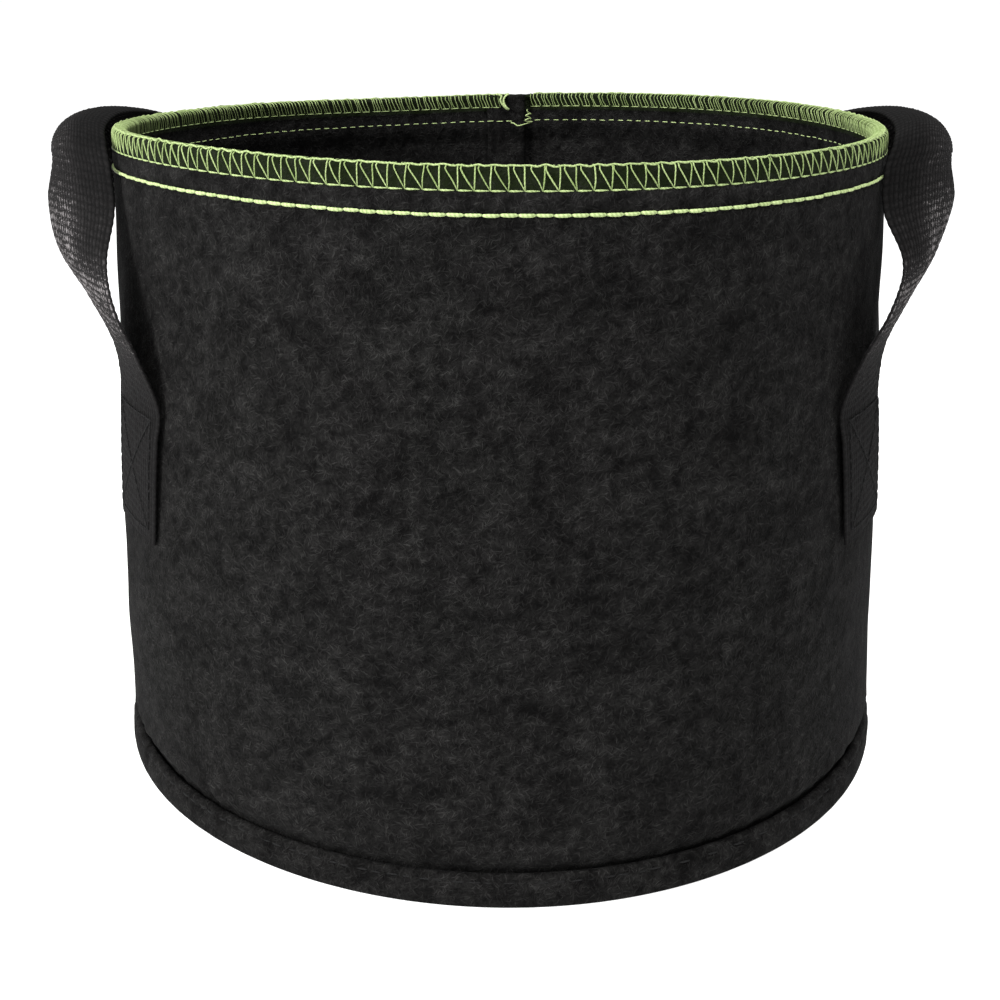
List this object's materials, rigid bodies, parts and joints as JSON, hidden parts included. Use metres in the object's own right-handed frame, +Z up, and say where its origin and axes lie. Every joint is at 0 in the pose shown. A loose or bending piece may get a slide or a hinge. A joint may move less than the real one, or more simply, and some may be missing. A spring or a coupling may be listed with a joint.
{
  "type": "fabric grow bag",
  "caption": "Round black felt planter with an open top, contrast overlocked and stitched rim, sewn-in base and a webbing carrying handle on each side.",
  "frame": {"origin": "centre of the footprint, on the surface the bag stands on", "axes": "+Z up; the handles are at -X and +X; the wall's seam is at the back, at +Y"},
  "size_m": [0.3022, 0.2732, 0.2159],
  "materials": {
    "felt": "needle-punched felt, matte, fine random fibres",
    "webbing": "coarse woven webbing with a slight plastic sheen",
    "green_thread": "twisted sewing thread, slightly glossy",
    "black_thread": "twisted sewing thread, slightly glossy"
  },
  "bodies": {
    "bag": {"wall_panel": "felt", "base_panel": "felt", "rim_overlock_outer": "green_thread", "rim_overlock_inner": "green_thread", "rim_overlock_edge": "green_thread", "rim_stitch_needle": "green_thread", "rim_stitch_bobbin": "green_thread", "base_stitch_needle": "black_thread", "base_stitch_bobbin": "black_thread", "back_seam_thread": "green_thread", "seam_thread_tail": "green_thread", "left_strap_front_end": "webbing", "left_strap_rear_end": "webbing", "left_front_box_stitch": "black_thread", "left_rear_box_stitch": "black_thread", "right_strap_front_end": "webbing", "right_strap_rear_end": "webbing", "right_front_box_stitch": "black_thread", "right_rear_box_stitch": "black_thread"},
    "left_handle": {"left_strap_loop": "webbing"},
    "right_handle": {"right_strap_loop": "webbing"}
  },
  "joints": [
    {"name": "left_handle_fold", "type": "hinge", "parent": "bag", "child": "left_handle", "pos_m": [-0.1256, 0, 0.135], "axis": [0, -1, 0], "range_deg": [0, 135]},
    {"name": "right_handle_fold", "type": "hinge", "parent": "bag", "child": "right_handle", "pos_m": [0.1256, 0, 0.135], "axis": [0, 1, 0], "range_deg": [0, 135]}
  ]
}
